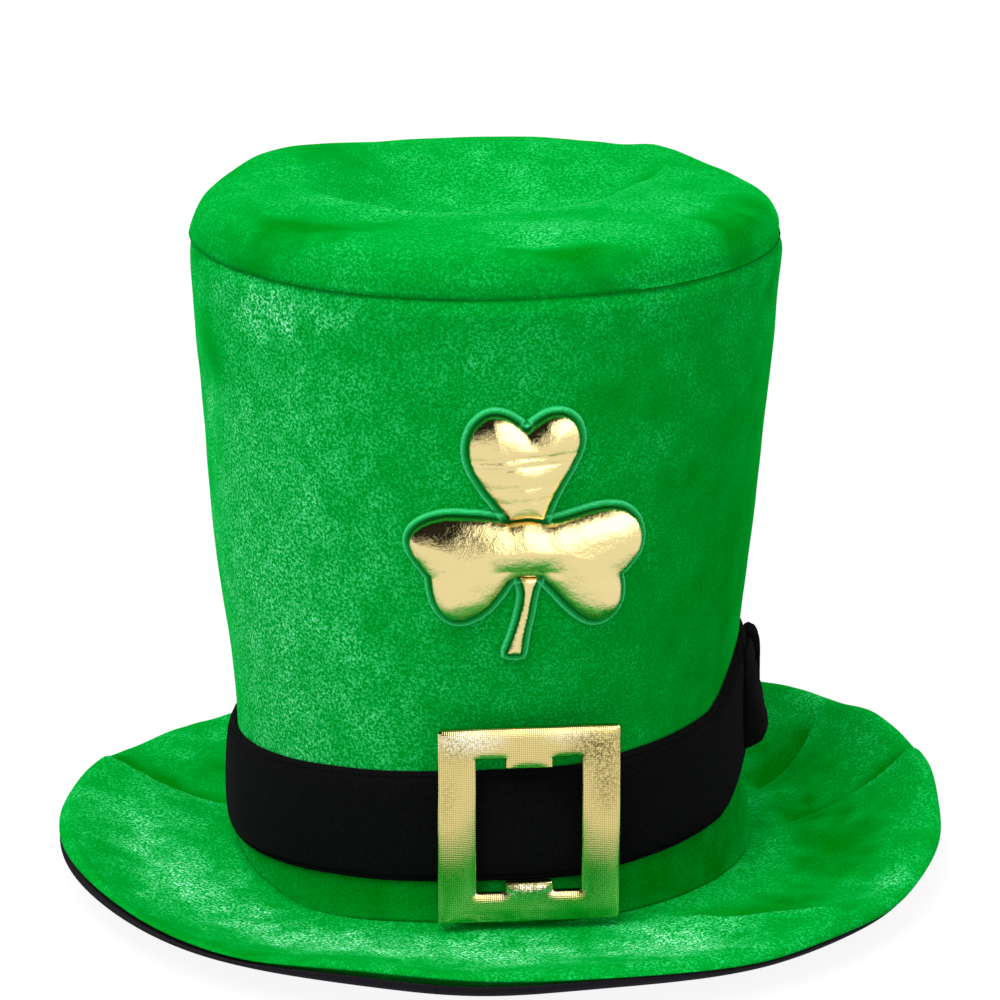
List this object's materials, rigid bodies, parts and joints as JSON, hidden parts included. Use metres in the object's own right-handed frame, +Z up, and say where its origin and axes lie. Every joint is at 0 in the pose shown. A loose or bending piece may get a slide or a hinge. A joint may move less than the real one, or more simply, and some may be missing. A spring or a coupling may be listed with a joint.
{
  "type": "leprechaun hat",
  "caption": "Tall velvet costume top hat with a curled padded brim, black band, flat bow, gold buckle and gold shamrock.",
  "frame": {"origin": "centre of the brim's circle on the surface that the hat rests on", "axes": "+Z up through the crown, -Y to the front where the buckle and the shamrock are, +X to the side of the bow"},
  "size_m": [0.3399, 0.3397, 0.2638],
  "materials": {
    "green_velvet": "crushed velvet pile",
    "black_cloth": "brushed knit",
    "black_velvet": "short pile",
    "gold_lame": "woven metallic",
    "gold_foil": "metallised film over padding",
    "green_stitching": "satin stitch"
  },
  "bodies": {
    "root": {"brim_top": "green_velvet", "brim_underside": "black_cloth", "crown_side": "green_velvet", "crown_top": "green_velvet", "hat_band": "black_velvet", "bow_front_loop": "black_velvet", "bow_back_loop": "black_velvet", "bow_knot": "black_velvet", "buckle": "gold_lame", "shamrock_border": "green_stitching", "shamrock_top_leaf": "gold_foil", "shamrock_side_leaves": "gold_foil", "shamrock_stem": "gold_foil"}
  },
  "joints": []
}
